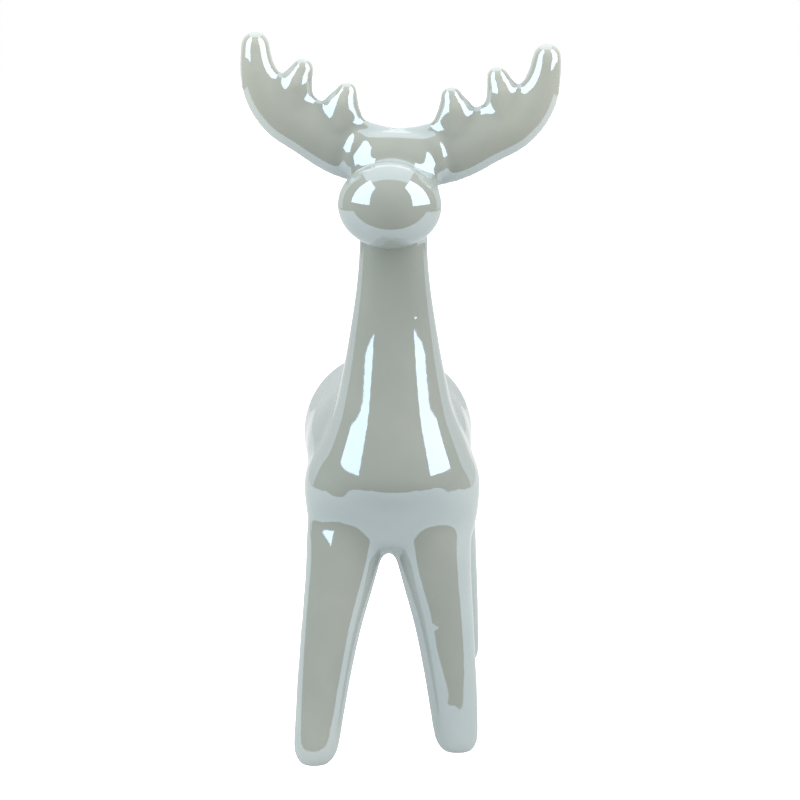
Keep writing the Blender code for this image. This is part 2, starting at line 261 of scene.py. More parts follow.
# Camera
SENSOR_WIDTH_IN_MM = 36.0
CLIP_RANGE = (0.01, 50.0)


def length(name, words, millimetres):
    """A length property whose default is given in millimetres."""
    return FloatProperty(
        name=name, description=words, default=millimetres * MM, precision=5, unit="LENGTH"
    )


class ReindeerShape(bpy.types.PropertyGroup):
    """Sizes of the figure."""

    torso_length: length("Torso length", "From the chest to the rump", 104.0)
    torso_front_y: length("Torso front", "Where the barrel begins along Y", -44.0)
    torso_width: length("Torso width", "Across the hips", 61.6)
    torso_height: length("Torso height", "From the belly to the back", 58.0)
    torso_axis_height: length("Torso axis height", "Middle of the barrel above the floor", 97.8)
    chest_front_y: length("Chest front", "Where the chest begins along Y", -57.0)
    rump_side_shift: length("Rump side shift", "How far the rump stands to one side", -1.8)
    shoulder_width: length("Shoulder width", "Across the shoulders", 60.8)
    shoulder_depth: length("Shoulder depth", "Front to back of the shoulders", 68.0)
    shoulder_bottom: length("Shoulder bottom", "Where the shoulders start rounding in", 73.0)
    shoulder_top: length("Shoulder top", "Where the shoulders end under the chest", 100.0)
    shoulder_rounding: length("Shoulder rounding", "Rounding at the shoulders' ends", 6.0)
    shoulder_x: length("Shoulder side place", "Middle of the shoulders along X", 0.5)
    shoulder_y: length("Shoulder place", "Middle of the shoulders along Y", -20.0)
    chest_width: length("Chest width", "Across the foot of the neck", 57.0)
    chest_depth: length("Chest depth", "Front to back at the foot of the neck", 74.0)
    chest_height: length("Chest height", "Fullest part of the chest above the floor", 95.5)
    chest_drop: length("Chest drop", "How far the chest rounds off below its fullest part", 24.0)
    neck_width: length("Neck width", "Across the neck below the head", 22.8)
    neck_depth: length("Neck depth", "Front to back below the head", 23.2)
    neck_top_height: length("Neck top height", "Where the neck enters the head", 186.0)
    neck_top_y: length("Neck top place", "Where the neck enters the head along Y", -36.0)
    neck_side_shift: length("Neck side shift", "How far the neck stands to one side", 1.0)
    front_hip_height: length("Front hip height", "Where the front legs start", 77.0)
    hind_hip_height: length("Hind hip height", "Where the hind legs start", 84.0)
    hip_rounding: length("Hip rounding", "How far a leg's top rounds off inside the torso", 8.0)
    front_hip_depth: length("Front hip depth", "Front to back at the shoulder", 28.8)
    hind_hip_depth: length("Hind hip depth", "Front to back at the haunch", 44.0)
    front_hip_diameter: length("Front hip diameter", "Across a front leg at its top", 28.8)
    hind_hip_diameter: length("Hind hip diameter", "Across a hind leg at its top", 30.6)
    front_hip_spread: length("Front hip spread", "Between the tops of the front legs", 27.7)
    front_hip_side_shift: length("Front hip side shift", "Front hips' middle to one side", -0.65)
    hind_hip_spread: length("Hind hip spread", "Between the tops of the hind legs", 32.6)
    front_hip_y: length("Front hip place", "Tops of the front legs along Y", -34.6)
    hind_hip_y: length("Hind hip place", "Tops of the hind legs along Y", 33.0)
    foot_diameter: length("Foot diameter", "Across a foot", 16.0)
    foot_rounding: length("Foot rounding", "Height over which a foot rounds off", 5.0)
    head_centre_height: length("Head height", "Centre of the skull above the floor", 191.5)
    head_centre_y: length("Head place", "Centre of the skull along Y", -40.0)
    head_centre_x: length("Head side shift", "Centre of the skull along X", 1.1)
    skull_width: length("Skull width", "Across the cheeks", 31.5)
    skull_length: length("Skull length", "Front to back", 22.0)
    skull_height: length("Skull height", "Height of the skull's egg", 30.0)
    skull_drop: length("Skull drop", "Egg's middle below the head's centre", 3.0)
    muzzle_width: length("Muzzle width", "Across the ball of the muzzle", 34.0)
    muzzle_length: length("Muzzle length", "Front to back of the ball", 31.0)
    muzzle_height: length("Muzzle height", "Height of the ball", 28.4)
    muzzle_reach: length("Muzzle reach", "Ball's centre ahead of the skull's", 16.0)
    muzzle_drop: length("Muzzle drop", "Ball's centre below the skull's", 3.2)
    brow_width: length("Brow width", "Across the temples", 31.0)
    brow_length: length("Brow length", "Front to back of the brow", 13.0)
    brow_height: length("Brow height", "Height of the brow", 20.0)
    brow_setback: length("Brow setback", "Brow's middle behind the skull's centre", 2.6)
    brow_rise: length("Brow rise", "Brow's middle above the skull's centre", 7.2)
    ear_width: length("Ear width", "Across the leaf of an ear", 6.0)
    ear_depth: length("Ear depth", "Front to back of an ear", 7.0)
    ear_length: length("Ear length", "From an ear's root to its tip", 15.0)
    ear_spread: length("Ear spread", "Between the middles of the ears", 28.6)
    ear_setback: length("Ear setback", "Ear's middle behind the skull's centre", 3.4)
    ear_height: length("Ear height", "Ear's middle above the skull's centre", 12.5)
    ear_lean: FloatProperty(
        name="Ear lean",
        description="How far the tips of the ears lean in",
        default=math.radians(15.0),
        subtype="ANGLE",
    )
    antler_reach: length("Antler reach", "From the middle to an antler's outer edge", 53.5)
    antler_rise: length("Antler rise", "From the skull's centre to the highest tip", 50.2)
    antler_thickness: length("Antler thickness", "Front to back of the palm", 10.6)
    antler_setback: length("Antler setback", "Palm's middle behind the skull's centre", 7.0)
    tail_length: length("Tail length", "Front to back of the nub", 17.0)
    tail_width: length("Tail width", "Across the nub", 13.0)
    tail_thickness: length("Tail thickness", "Height of the nub", 12.0)
    tail_height: length("Tail height", "Nub's middle above the floor", 112.0)
    head_turn: FloatProperty(
        name="Head turn",
        description="Turn of the head to the animal's right",
        default=math.radians(4.0),
        subtype="ANGLE",
    )
    head_tilt: FloatProperty(
        name="Head tilt",
        description="Tilt of the head to the animal's left",
        default=math.radians(2.3),
        subtype="ANGLE",
    )
    front_right_foot: FloatVectorProperty(
        name="Front right foot",
        description="Where the foot stands",
        size=2,
        default=(-25.2 * MM, -56.2 * MM),
        subtype="TRANSLATION",
    )
    front_left_foot: FloatVectorProperty(
        name="Front left foot",
        description="Where the foot stands",
        size=2,
        default=(22.6 * MM, -43.5 * MM),
        subtype="TRANSLATION",
    )
    hind_right_foot: FloatVectorProperty(
        name="Hind right foot",
        description="Where the foot stands",
        size=2,
        default=(-24.6 * MM, 60.0 * MM),
        subtype="TRANSLATION",
    )
    hind_left_foot: FloatVectorProperty(
        name="Hind left foot",
        description="Where the foot stands",
        size=2,
        default=(26.4 * MM, 59.0 * MM),
        subtype="TRANSLATION",
    )


def colour(name, words, value):
    """A colour property."""
    return FloatVectorProperty(
        name=name, description=words, size=3, default=value, min=0.0, max=1.0, subtype="COLOR"
    )


class ReindeerGlaze(bpy.types.PropertyGroup):
    """Colours and gloss of the glaze."""

    body: colour("Glaze", "Grey-green of the glaze on open faces", (0.330, 0.353, 0.318))
    thin: colour("Thin glaze", "Cream where the glaze runs thin on edges", (0.46, 0.47, 0.41))
    pooled: colour("Pooled glaze", "Darker green where the glaze pools", (0.255, 0.284, 0.252))
    lustre: colour("Lustre", "Bluish tint of the reflections", (0.64, 0.80, 1.0))
    bisque: colour("Bisque", "Bare clay under the feet", (0.72, 0.67, 0.60))
    roughness: FloatProperty(
        name="Glaze roughness",
        description="How blurred the reflections are",
        default=0.05,
        min=0.0,
        max=1.0,
        subtype="FACTOR",
    )
    lustre_index: FloatProperty(
        name="Lustre strength",
        description="Index of refraction of the lustre film",
        default=2.8,
        min=1.0,
        max=3.0,
    )


class ReindeerStudio(bpy.types.PropertyGroup):
    """Camera and light."""

    camera_distance: length("Camera distance", "From the figure's middle", 768.0)
    camera_height: length("Camera height", "Above the floor", 250.0)
    camera_tilt: FloatProperty(
        name="Camera tilt",
        description="How far the camera looks down",
        default=math.radians(10.0),
        subtype="ANGLE",
    )
    focal_length: FloatProperty(
        name="Focal length",
        description="Lens on a 36 mm sensor",
        default=99.0,
        subtype="DISTANCE_CAMERA",
    )
    side_power: FloatProperty(
        name="Side light", description="Power of each side softbox", default=16.0, unit="POWER"
    )
    top_power: FloatProperty(
        name="Top light", description="Power of the softbox overhead", default=4.5, unit="POWER"
    )
    tent_light: FloatProperty(
        name="Tent light", description="Soft light from all round", default=0.93, min=0.0
    )
    dark_side: FloatProperty(
        name="Dark side",
        description="Brightness of the room behind the camera",
        default=0.08,
        min=0.0,
    )
    table_front: length("Table front", "Front edge of the white table along Y", -150.0)


def smooth_rows(rows, count):
    """Even places on a curve through the rows.

    Between two rows the curve is the cubic whose ends and end slopes are those of the rows,
    each slope being the central difference of its neighbours over the distance along the path.
    """
    rows = np.array(rows, float)
    steps = np.linalg.norm(np.diff(rows[:, :3], axis=0), axis=1)
    at = np.concatenate([[0.0], np.cumsum(steps)])
    slopes = np.gradient(rows, at, axis=0)
    wanted = np.linspace(0.0, at[-1], count)
    i = np.clip(np.searchsorted(at, wanted) - 1, 0, len(at) - 2)
    span = (at[i + 1] - at[i])[:, None]
    t = (wanted - at[i])[:, None] / span
    return (
        (2 * t**3 - 3 * t**2 + 1) * rows[i]
        + (t**3 - 2 * t**2 + t) * span * slopes[i]
        + (3 * t**2 - 2 * t**3) * rows[i + 1]
        + (t**3 - t**2) * span * slopes[i + 1]
    )


def round_ends(rows, first_cap, last_cap, steps=CAP_SECTIONS):
    """Closes both ends in a quarter of an ellipse.

    At an angle from 0 to 90 degrees the section is the end one times the angle's cosine, and
    it lies past the end by the cap's length times the sine.
    """
    angles = np.linspace(0.0, math.pi / 2, steps + 1)[1:]
    shrink, forward = np.cos(angles)[:, None], np.sin(angles)[:, None]

    def cap(end, inner, reach):
        way = end[:3] - inner[:3]
        way = way / np.linalg.norm(way)
        return np.hstack([end[:3] + forward * way * reach, shrink * end[3:]])

    first = cap(rows[0], rows[1], first_cap)[::-1]
    last = cap(rows[-1], rows[-2], last_cap)
    return np.vstack([first, rows, last])


def sweep(rows, across, through, fullness=2.0, segments=SECTION_POINTS):
    """A tube on a grid of row and angle, from rows of (x, y, z, half width, half depth).

    A point is its row's centre, plus the half width times c along across, plus the half depth
    times s along through. c and s are the angle's cosine and sine raised to 2 / fullness with
    their signs kept, so fullness 2 gives an ellipse and more squares it off.
    """
    rows = np.asarray(rows)
    across = np.broadcast_to(across, (len(rows), 3))
    through = np.broadcast_to(through, (len(rows), 3))
    angle = 2 * math.pi * np.arange(segments) / segments
    c = np.sign(np.cos(angle)) * np.abs(np.cos(angle)) ** (2.0 / fullness)
    s = np.sign(np.sin(angle)) * np.abs(np.sin(angle)) ** (2.0 / fullness)
    points = (
        rows[:, None, :3]
        + (rows[:, 3:4] * c)[..., None] * across[:, None, :]
        + (rows[:, 4:5] * s)[..., None] * through[:, None, :]
    )
    index = np.arange(len(rows) * segments).reshape(len(rows), segments)
    here, there = index[:-1], index[1:]
    quads = np.stack([here, np.roll(here, -1, 1), np.roll(there, -1, 1), there], axis=-1)
    return points.reshape(-1, 3), quads.reshape(-1, 4)


def flat_sweep(rows, fullness):
    """A tube along a path in the XZ plane, its width at right angles to the path."""
    way = np.gradient(rows[:, :3], axis=0)
    way[:, 1] = 0.0
    way /= np.linalg.norm(way, axis=1)[:, None]
    across = np.stack([-way[:, 2], np.zeros(len(rows)), way[:, 0]], axis=1)
    return sweep(rows, across, ALONG_Y, fullness)


def egg(centre, size):
    """An ellipsoid: sections across Z whose half sizes follow the cosine of the latitude."""
    latitude = np.linspace(-math.pi / 2, math.pi / 2, EGG_SECTIONS)
    rows = np.zeros((len(latitude), 5))
    rows[:, :3] = centre
    rows[:, 2] += size[2] / 2 * np.sin(latitude)
    rows[:, 3] = size[0] / 2 * np.cos(latitude)
    rows[:, 4] = size[1] / 2 * np.cos(latitude)
    return sweep(rows, ALONG_X, ALONG_Y)


def torso(shape):
    """The barrel: elliptical sections along Y, rounded off at the chest and the rump."""
    rows = [
        (
            place * shape.rump_side_shift,
            shape.torso_front_y + place * shape.torso_length,
            shape.torso_axis_height + rise * shape.torso_height,
            width * shape.torso_width / 2,
            height * shape.torso_height / 2,
        )
        for place, width, height, rise in TORSO_PROFILE
    ]
    chest_cap = TORSO_PROFILE[0][0] * shape.torso_length
    rump_cap = (1.0 - TORSO_PROFILE[-1][0]) * shape.torso_length
    rows = round_ends(smooth_rows(rows, TORSO_SECTIONS), chest_cap, rump_cap)
    return sweep(rows, ALONG_X, ALONG_Z, segments=TRUNK_SECTION_POINTS)


def shoulders(shape):
    """The front of the barrel, squarer than the chest and flush with the front legs."""
    span = shape.shoulder_top - shape.shoulder_bottom
    rows = [
        (
            shape.shoulder_x,
            shape.shoulder_y,
            shape.shoulder_bottom + place * span,
            width * shape.shoulder_width / 2,
            depth * shape.shoulder_depth / 2,
        )
        for place, width, depth in SHOULDER_PROFILE
    ]
    rounding = shape.shoulder_rounding
    rows = round_ends(smooth_rows(rows, SHOULDER_SECTIONS), rounding, rounding)
    return sweep(rows, ALONG_X, ALONG_Y, SHOULDER_FULLNESS, TRUNK_SECTION_POINTS)


def neck(shape):
    """The bottle-shaped neck: squarish sections up Z, from a wide chest to a slim top."""
    chest_y = shape.chest_front_y + shape.chest_depth / 2
    rows = [
        (
            shape.neck_side_shift,
            chest_y + lean * (shape.neck_top_y - chest_y),
            shape.chest_height + place * (shape.neck_top_height - shape.chest_height),
            (shape.neck_width + flare * (shape.chest_width - shape.neck_width)) / 2,
            (shape.neck_depth + flare_deep * (shape.chest_depth - shape.neck_depth)) / 2,
        )
        for place, flare, flare_deep, lean in NECK_PROFILE
    ]
    rows = smooth_rows(rows, NECK_SECTIONS)
    rows = round_ends(rows, shape.chest_drop, shape.neck_width / 2)
    return sweep(rows, ALONG_X, ALONG_Y, NECK_FULLNESS, TRUNK_SECTION_POINTS)


def leg(shape, hip_x, hip_y, hip_height, diameter, depth, foot):
    """A cone from the hip to the foot, deeper than wide at the hip.

    The extra depth falls off with the square of what is left of the thinning.
    """
    ankle_share = LEG_PROFILE[-1][0]
    rows = []
    for place, way, thinning in LEG_PROFILE:
        drop = (hip_height - shape.foot_rounding) * place / ankle_share
        radius = (diameter + thinning * (shape.foot_diameter - diameter)) / 2
        extra_depth = (depth - diameter) / 2 * (1.0 - thinning) ** 2
        x = hip_x + way * (foot[0] - hip_x)
        y = hip_y + place / ankle_share * (foot[1] - hip_y)
        rows.append((x, y, hip_height - drop, radius, radius + extra_depth))
    rows = smooth_rows(rows, LEG_SECTIONS)
    rows = round_ends(rows, shape.hip_rounding, FOOT_CAP_SHARE * shape.foot_rounding)
    return sweep(rows, ALONG_X, ALONG_Y)


def legs(shape):
    """The four legs, each with its own foot."""
    front = (
        shape.front_hip_y,
        shape.front_hip_height,
        shape.front_hip_diameter,
        shape.front_hip_depth,
    )
    hind = (
        shape.hind_hip_y,
        shape.hind_hip_height,
        shape.hind_hip_diameter,
        shape.hind_hip_depth,
    )
    shift, half_spread = shape.front_hip_side_shift, shape.front_hip_spread / 2
    return [
        leg(shape, shift - half_spread, *front, shape.front_right_foot),
        leg(shape, shift + half_spread, *front, shape.front_left_foot),
        leg(shape, -shape.hind_hip_spread / 2, *hind, shape.hind_right_foot),
        leg(shape, shape.hind_hip_spread / 2, *hind, shape.hind_left_foot),
    ]


def tail(shape):
    """A nub, three quarters sunk into the rump."""
    rump_y = shape.torso_front_y + shape.torso_length
    centre = (0.0, rump_y - shape.tail_length / 4, shape.tail_height)
    return egg(centre, (shape.tail_width, shape.tail_length, shape.tail_thickness))


def antler_stroke(shape, path, side):
    """The palm or a tine: a flat tube along its path, closed by a round tip."""
    rows = [
        (
            side * reach * shape.antler_reach,
            shape.antler_setback,
            rise * shape.antler_rise,
            half_width * shape.antler_reach,
            min(shape.antler_thickness / 2, half_width * shape.antler_reach),
        )
        for reach, rise, half_width in path
    ]
    tip = rows[-1][3]
    rows = round_ends(smooth_rows(rows, ANTLER_SECTIONS), tip, tip)
    return flat_sweep(rows, ANTLER_FULLNESS)


def forehead(shape):
    """The upright forehead: squarish sections up Z, from the muzzle's top to the antlers."""
    rows = [
        (
            0.0,
            setback * shape.skull_length,
            height * shape.skull_height,
            half_width * shape.skull_width,
            half_depth * shape.skull_length,
        )
        for height, half_width, half_depth, setback in FOREHEAD_PROFILE
    ]
    cap = shape.antler_thickness / 4
    rows = round_ends(smooth_rows(rows, FOREHEAD_SECTIONS), cap, cap)
    return sweep(rows, ALONG_X, ALONG_Y, FOREHEAD_FULLNESS)


def ear(shape, side):
    """A leaf-shaped swelling against the root of an antler, its tip leaning in."""
    points, quads = egg((0, 0, 0), (shape.ear_width, shape.ear_depth, shape.ear_length))
    lean = np.array(Euler((0.0, -side * shape.ear_lean, 0.0)).to_matrix())
    place = np.array([side * shape.ear_spread / 2, shape.ear_setback, shape.ear_height])
    return points @ lean.T + place, quads


def head(shape):
    """The skull, the ball muzzle, the ears and the antlers, turned and tilted on the neck."""
    parts = [
        egg(
            (0, 0, -shape.skull_drop),
            (shape.skull_width, shape.skull_length, shape.skull_height),
        ),
        egg(
            (0, -shape.muzzle_reach, -shape.muzzle_drop),
            (shape.muzzle_width, shape.muzzle_length, shape.muzzle_height),
        ),
        egg(
            (0, shape.brow_setback, shape.brow_rise),
            (shape.brow_width, shape.brow_length, shape.brow_height),
        ),
        forehead(shape),
    ]
    for side in (1, -1):
        parts.append(ear(shape, side))
        for path in (PALM_PATH, MIDDLE_TINE_PATH, INNER_TINE_PATH):
            parts.append(antler_stroke(shape, path, side))
    turn = Euler((0.0, shape.head_tilt, 0.0)).to_matrix()
    turn = np.array(Euler((0.0, 0.0, -shape.head_turn)).to_matrix() @ turn)
    place = np.array([shape.head_centre_x, shape.head_centre_y, shape.head_centre_height])
    return [(points @ turn.T + place, quads) for points, quads in parts]


def joined(parts):
    """Several (points, quads) as one."""
    counts = [len(points) for points, _ in parts]
    starts = np.concatenate([[0], np.cumsum(counts)[:-1]])
    points = np.concatenate([points for points, _ in parts])
    quads = np.concatenate([quads + start for (_, quads), start in zip(parts, starts)])
    return points, quads


def mesh_from(name, points, quads):
    """A mesh filled from whole arrays."""
    mesh = bpy.data.meshes.new(name)
    mesh.vertices.add(len(points))
    mesh.vertices.foreach_set("co", np.asarray(points, np.float32).ravel())
    mesh.loops.add(quads.size)
    mesh.loops.foreach_set("vertex_index", np.asarray(quads, np.int32).ravel())
    mesh.polygons.add(len(quads))
    mesh.polygons.foreach_set("loop_start", np.arange(0, quads.size, 4, dtype=np.int32))
    mesh.update(calc_edges=True)
    return mesh


def arrays_from(mesh):
    """The points and quads of a mesh made of quads."""
    points = np.empty(len(mesh.vertices) * 3, np.float32)
    mesh.vertices.foreach_get("co", points)
    corners = np.empty(len(mesh.loops), np.int32)
    mesh.loops.foreach_get("vertex_index", corners)
    return points.reshape(-1, 3).astype(float), corners.reshape(-1, 4)


def fused(name, parts, voxel, passes):
    """One closed skin round all the parts, with the creases between them softened."""
    rough = bpy.data.objects.new(name, mesh_from(name, *joined(parts)))
    bpy.context.scene.collection.objects.link(rough)
    remesh = rough.modifiers.new("fuse", "REMESH")
    remesh.mode = "VOXEL"
    remesh.voxel_size = voxel
    soften = rough.modifiers.new("soften", "SMOOTH")
    soften.factor = SOFTEN_FACTOR
    soften.iterations = passes
    graph = bpy.context.evaluated_depsgraph_get()
    mesh = bpy.data.meshes.new_from_object(rough.evaluated_get(graph))
    arrays = arrays_from(mesh)
    old = rough.data
    bpy.data.objects.remove(rough)
    bpy.data.meshes.remove(old)
    bpy.data.meshes.remove(mesh)
    return arrays


def neighbour_mean(values, edges, count):
    """For each vertex the mean of its neighbours' values, by summing over the edges."""
    a, b = edges[:, 0], edges[:, 1]
    degree = np.bincount(a, minlength=count) + np.bincount(b, minlength=count)
    columns = [
        np.bincount(a, values[b, k], count) + np.bincount(b, values[a, k], count)
        for k in range(values.shape[1])
    ]
    return np.stack(columns, axis=1) / degree[:, None]


def glaze_thickness(mesh):
    """0 on sharp edges, where glaze runs thin, 0.5 on flat faces, 1 in hollows, where it pools.

    It is the part along the normal of the mean of the neighbours minus the point, over the
    mean edge length squared, which is half the mean curvature, averaged over some passes.
    Glaze also runs down in the kiln: a share is taken off above the head, rising smoothly
    as three times the square minus twice the cube of the way between two heights.
    """
    points, _ = arrays_from(mesh)
    count = len(points)
    normals = np.empty(count * 3, np.float32)
    mesh.vertex_normals.foreach_get("vector", normals)
    normals = normals.reshape(-1, 3)
    edges = np.empty(len(mesh.edges) * 2, np.int32)
    mesh.edges.foreach_get("vertices", edges)
    edges = edges.reshape(-1, 2)
    span = np.linalg.norm(points[edges[:, 0]] - points[edges[:, 1]], axis=1).mean()
    bend = ((neighbour_mean(points, edges, count) - points) * normals).sum(1) / span**2
    bend = bend[:, None]
    for _ in range(POOLING_PASSES):
        bend = 0.5 * bend + 0.5 * neighbour_mean(bend, edges, count)
    low, high = RUN_DOWN_HEIGHTS
    rise = np.clip((points[:, 2] - low) / (high - low), 0.0, 1.0)
    run_down = RUN_DOWN_SHARE * rise**2 * (3 - 2 * rise)
    return np.clip(0.5 + bend[:, 0] * POOLING - run_down, 0.0, 1.0)


def raise_pimples(points, middle):
    """Pushes small bumps out of the front of the glaze, along -Y.

    A bump is its height times e to the power of minus the squared distance from its centre in
    the XZ plane over the radius squared.
    """
    for x, y, z, height in PIMPLES:
        centre = np.array([x, y, z]) - middle
        apart = points - centre
        near = np.exp(-((apart[:, 0] ** 2 + apart[:, 2] ** 2) / PIMPLE_RADIUS**2))
        near = near * (points[:, 1] < centre[1] + PIMPLE_DEPTH)
        points[:, 1] -= height * near
    return points


def rgba(value):
    """A colour with full alpha."""
    return (*value, 1.0)


def pearl_glaze(look):
    """A pooled grey-green glaze under a bluish, metallic film, with bare clay under the feet."""
    material = bpy.data.materials.new("pearl_glaze")
    material.use_nodes = True
    nodes, links = material.node_tree.nodes, material.node_tree.links
    shader = nodes["Principled BSDF"]
    coordinates = nodes.new("ShaderNodeTexCoord")

    def noise(settings):
        scale, detail = settings
        node = nodes.new("ShaderNodeTexNoise")
        node.inputs["Scale"].default_value = scale
        node.inputs["Detail"].default_value = detail
        links.new(coordinates.outputs["Object"], node.inputs["Vector"])
        return node.outputs["Fac"]

    def ranged(value, band, to_low, to_high):
        node = nodes.new("ShaderNodeMapRange")
        node.inputs["From Min"].default_value, node.inputs["From Max"].default_value = band
        node.inputs["To Min"].default_value = to_low
        node.inputs["To Max"].default_value = to_high
        links.new(value, node.inputs["Value"])
        return node.outputs["Result"]

    def added(first, second):
        node = nodes.new("ShaderNodeMath")
        node.operation = "ADD"
        links.new(first, node.inputs[0])
        links.new(second, node.inputs[1])
        return node.outputs["Value"]

    def mixed(factor, first, second):
        node = nodes.new("ShaderNodeMix")
        node.data_type = "RGBA"
        links.new(factor, node.inputs["Factor"])
        for socket, value in ((node.inputs[6], first), (node.inputs[7], second)):
            if isinstance(value, tuple):
                socket.default_value = value
            else:
                links.new(value, socket)
        return node.outputs[2]

    thickness = nodes.new("ShaderNodeAttribute")
    thickness.attribute_name = "glaze_thickness"
    drift = ranged(noise(COLOUR_NOISE), NOISE_BAND, -COLOUR_DRIFT, COLOUR_DRIFT)
    depth = added(thickness.outputs["Fac"], drift)
    ramp = nodes.new("ShaderNodeValToRGB")
    thin_stop, body_stop, pooled_stop = COLOUR_STOPS
    thin, pooled = ramp.color_ramp.elements
    thin.position = thin_stop
    thin.color = rgba(look.thin)
    pooled.position = pooled_stop
    pooled.color = rgba(look.pooled)
    ramp.color_ramp.elements.new(body_stop).color = rgba(look.body)
    links.new(depth, ramp.inputs["Fac"])

    apart = nodes.new("ShaderNodeSeparateXYZ")
    links.new(coordinates.outputs["Object"], apart.inputs["Vector"])
    bare = ranged(apart.outputs["Z"], BARE_HEIGHTS, 1.0, 0.0)
    colour_out = mixed(bare, ramp.outputs["Color"], rgba(look.bisque))
    links.new(colour_out, shader.inputs["Base Color"])

    least, most = (share * look.roughness for share in GLOSS_SHARES)
    glossy = ranged(noise(GLOSS_NOISE), NOISE_BAND, least, most)
    matte = nodes.new("ShaderNodeMath")
    matte.operation = "MULTIPLY_ADD"
    matte.inputs[1].default_value = BARE_ROUGHNESS
    links.new(bare, matte.inputs[0])
    links.new(glossy, matte.inputs[2])
    links.new(matte.outputs["Value"], shader.inputs["Roughness"])
    shader.inputs["IOR"].default_value = look.lustre_index
    shader.inputs["Specular Tint"].default_value = rgba(look.lustre)
    shader.inputs["Metallic"].default_value = 0.0

    waves = nodes.new("ShaderNodeBump")
    waves.inputs["Strength"].default_value = WAVE_STRENGTH
    waves.inputs["Distance"].default_value = WAVE_HEIGHT
    links.new(noise(WAVE_NOISE), waves.inputs["Height"])
    links.new(waves.outputs["Normal"], shader.inputs["Normal"])
    return material


def plain(name, value, glow):
    """An even material for a sheet of the studio, which glows a little."""
    material = bpy.data.materials.new(name)
    material.use_nodes = True
    shader = material.node_tree.nodes["Principled BSDF"]
    shader.inputs["Base Color"].default_value = rgba(value)
    shader.inputs["Roughness"].default_value = SHEET_ROUGHNESS
    shader.inputs["Emission Color"].default_value = rgba(value)
    shader.inputs["Emission Strength"].default_value = glow
    return material


class REINDEER_OT_figure(bpy.types.Operator):
    """Model the figure's glazed skin"""

    bl_idname = "reindeer.figure"
    bl_label = "Model the figure"

    def execute(self, context):
        shape = context.scene.reindeer_shape
        trunk = [torso(shape), shoulders(shape), neck(shape), *legs(shape), tail(shape)]
        body = fused("rough_body", trunk, BODY_VOXEL, BODY_SOFTEN_PASSES)
        skin = [body, *head(shape)]
        points, quads = fused("rough_skin", skin, SKIN_VOXEL, SKIN_SOFTEN_PASSES)
        low, high = points.min(axis=0), points.max(axis=0)
        middle = (low + high) / 2
        middle[2] = 0.0
        points -= middle
        room_left = FIT_SHARE * np.array(CAD_HIGH) / points.max(axis=0)
        points *= np.minimum(room_left, 1.0)
        points = raise_pimples(points, middle)
        points[:, 2] = np.maximum(points[:, 2], 0.0)
        mesh = mesh_from("reindeer_skin", points, quads)
        mesh.shade_smooth()
        layer = mesh.attributes.new("glaze_thickness", "FLOAT", "POINT")
        layer.data.foreach_set("value", glaze_thickness(mesh).astype(np.float32))
        mesh.materials.append(pearl_glaze(context.scene.reindeer_glaze))
        figure = bpy.data.objects.new("reindeer_skin", mesh)
        context.scene.collection.objects.link(figure)
        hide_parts(CAD_NODE)
        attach(figure, "root")
        return {"FINISHED"}


def softbox(name, place, aim, size, power, tint):
    """A rectangular area light at a place, facing a point."""
    light = bpy.data.lights.new(name, "AREA")
    light.shape = "RECTANGLE"
    light.size, light.size_y = size
    light.energy = power
    light.color = tint
    lamp = bpy.data.objects.new(name, light)
    facing = (Vector(aim) - Vector(place)).to_track_quat("-Z", "Y")
    lamp.matrix_world = Matrix.Translation(place) @ facing.to_matrix().to_4x4()
    bpy.context.scene.collection.objects.link(lamp)
    return lamp


def sheet(name, corners, material):
    """A flat rectangle of the studio."""
    mesh = bpy.data.meshes.new(name)
    mesh.from_pydata(corners, [], [(0, 1, 2, 3)])
    mesh.materials.append(material)
    plane = bpy.data.objects.new(name, mesh)
    bpy.context.scene.collection.objects.link(plane)
    plane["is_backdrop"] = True
    return plane


def slab(name, half_width, front, back, height, material):
    """A level sheet, from its front to its back edge along Y."""
    corners = [(-half_width, front), (half_width, front), (half_width, back), (-half_width, back)]
    return sheet(name, [(x, y, height) for x, y in corners], material)


def backdrop(start, end, material):
    """An upright sheet over two points of the floor, seen only in the glaze's reflections."""
    corners = [(*start, 0.0), (*end, 0.0), (*end, BACKDROP_HEIGHT), (*start, BACKDROP_HEIGHT)]
    plane = sheet("backdrop", corners, material)
    plane.visible_camera = False
    plane.visible_diffuse = False
    plane.visible_shadow = False


def light_room(scene, studio):
    """White to the camera, a dark room to the reflections and soft light to all else."""
    world = scene.world or bpy.data.worlds.new("studio")
    scene.world = world
    world.use_nodes = True
    nodes, links = world.node_tree.nodes, world.node_tree.links
    nodes.clear()

    def background(tint, strength):
        node = nodes.new("ShaderNodeBackground")
        node.inputs["Color"].default_value = rgba(tint)
        node.inputs["Strength"].default_value = strength
        return node.outputs["Background"]

    def chosen(factor, first, second):
        node = nodes.new("ShaderNodeMixShader")
        links.new(factor, node.inputs["Fac"])
        links.new(first, node.inputs[1])
        links.new(second, node.inputs[2])
        return node.outputs["Shader"]

    rays = nodes.new("ShaderNodeLightPath")
    tent = background(TENT_TINT, studio.tent_light)
    dark = background(DARK_TINT, studio.dark_side)
    mirrored = chosen(rays.outputs["Is Glossy Ray"], tent, dark)
    white = background(SKY_WHITE, SKY_STRENGTH)
    seen = chosen(rays.outputs["Is Camera Ray"], mirrored, white)
    output = nodes.new("ShaderNodeOutputWorld")
    links.new(seen, output.inputs["Surface"])


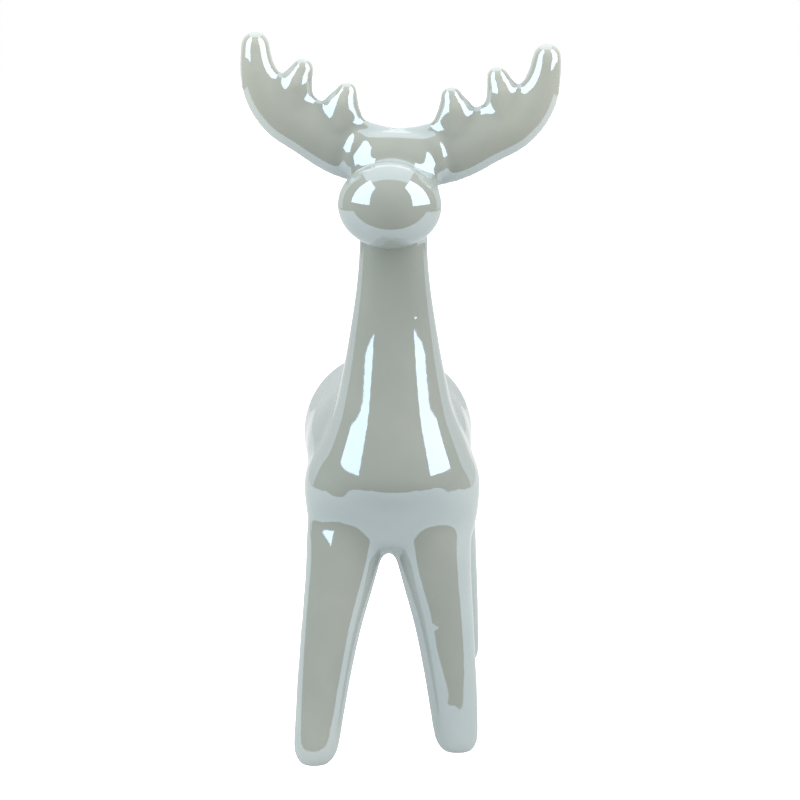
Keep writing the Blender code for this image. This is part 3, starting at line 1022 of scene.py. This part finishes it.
def add_camera(scene, studio):
    """The camera in front of the figure, looking a little down."""
    camera_data = bpy.data.cameras.new("camera")
    camera_data.sensor_width = SENSOR_WIDTH_IN_MM
    camera_data.lens = studio.focal_length
    camera_data.clip_start, camera_data.clip_end = CLIP_RANGE
    camera = bpy.data.objects.new("camera", camera_data)
    camera.location = (0.0, -studio.camera_distance, studio.camera_height)
    camera.rotation_euler = (math.pi / 2 - studio.camera_tilt, 0.0, 0.0)
    scene.collection.objects.link(camera)
    scene.camera = camera


class REINDEER_OT_studio(bpy.types.Operator):
    """Set up the pale floor, the softboxes and the camera"""

    bl_idname = "reindeer.studio"
    bl_label = "Set up the studio"

    def execute(self, context):
        studio = context.scene.reindeer_studio

        floor_look = plain("studio_white", FLOOR_WHITE, FLOOR_GLOW)
        floor = slab("floor", FLOOR_HALF, -FLOOR_HALF, FLOOR_HALF, FLOOR_HEIGHT, floor_look)
        floor.visible_glossy = False
        floor.visible_diffuse = False
        table_look = plain("table_white", TABLE_WHITE, TABLE_GLOW)
        front, back = studio.table_front, BACKDROP_BACK_Y
        table = slab("table", TABLE_HALF, front, back, TABLE_HEIGHT, table_look)
        table.visible_camera = False
        backdrop_look = plain("backdrop_white", BACKDROP_WHITE, BACKDROP_GLOW)
        for x in (-BACKDROP_HALF, BACKDROP_HALF):
            backdrop((x, BACKDROP_FRONT_Y), (x, back), backdrop_look)
        backdrop((-BACKDROP_HALF, back), (BACKDROP_HALF, back), backdrop_look)

        for side, word, low, front, back, tint in SIDE_LIGHTS:
            middle = (front + back) / 2
            height = (low + SIDE_LIGHT_TOP) / 2
            size = (back - front, SIDE_LIGHT_TOP - low)
            place = (side * SIDE_LIGHT_X, middle, height)
            aim = (0.0, middle, height)
            softbox(f"softbox_{word}", place, aim, size, studio.side_power, tint)
        softbox(
            "softbox_top",
            TOP_LIGHT_PLACE,
            TOP_LIGHT_AIM,
            TOP_LIGHT_SIZE,
            studio.top_power,
            TOP_LIGHT_TINT,
        )

        light_room(context.scene, studio)
        add_camera(context.scene, studio)
        context.scene.view_settings.view_transform = "Standard"
        return {"FINISHED"}


class REINDEER_PT_panel(bpy.types.Panel):
    """The figure's operators and sizes"""

    bl_label = "Reindeer"
    bl_idname = "REINDEER_PT_panel"
    bl_space_type = "VIEW_3D"
    bl_region_type = "UI"
    bl_category = "Reindeer"

    def draw(self, context):
        layout = self.layout
        for operator in OPERATORS:
            layout.operator(operator.bl_idname)
        for group in GROUPS:
            settings = getattr(context.scene, group)
            box = layout.box()
            for name in settings.__annotations__:
                box.prop(settings, name)


OPERATORS = (REINDEER_OT_figure, REINDEER_OT_studio)
GROUPS = {
    "reindeer_shape": ReindeerShape,
    "reindeer_glaze": ReindeerGlaze,
    "reindeer_studio": ReindeerStudio,
}


def register():
    """Adds the settings to the scene, and the operators and the panel to the interface."""
    for group in GROUPS.values():
        bpy.utils.register_class(group)
    for name, group in GROUPS.items():
        setattr(bpy.types.Scene, name, PointerProperty(type=group))
    for kind in (*OPERATORS, REINDEER_PT_panel):
        bpy.utils.register_class(kind)


def unregister():
    """Takes all that register added away again."""
    for kind in (REINDEER_PT_panel, *reversed(OPERATORS)):
        bpy.utils.unregister_class(kind)
    for name, group in GROUPS.items():
        delattr(bpy.types.Scene, name)
        bpy.utils.unregister_class(group)


def main():
    register()
    bpy.ops.reindeer.figure()
    bpy.ops.reindeer.studio()


if __name__ == "__main__":
    main()
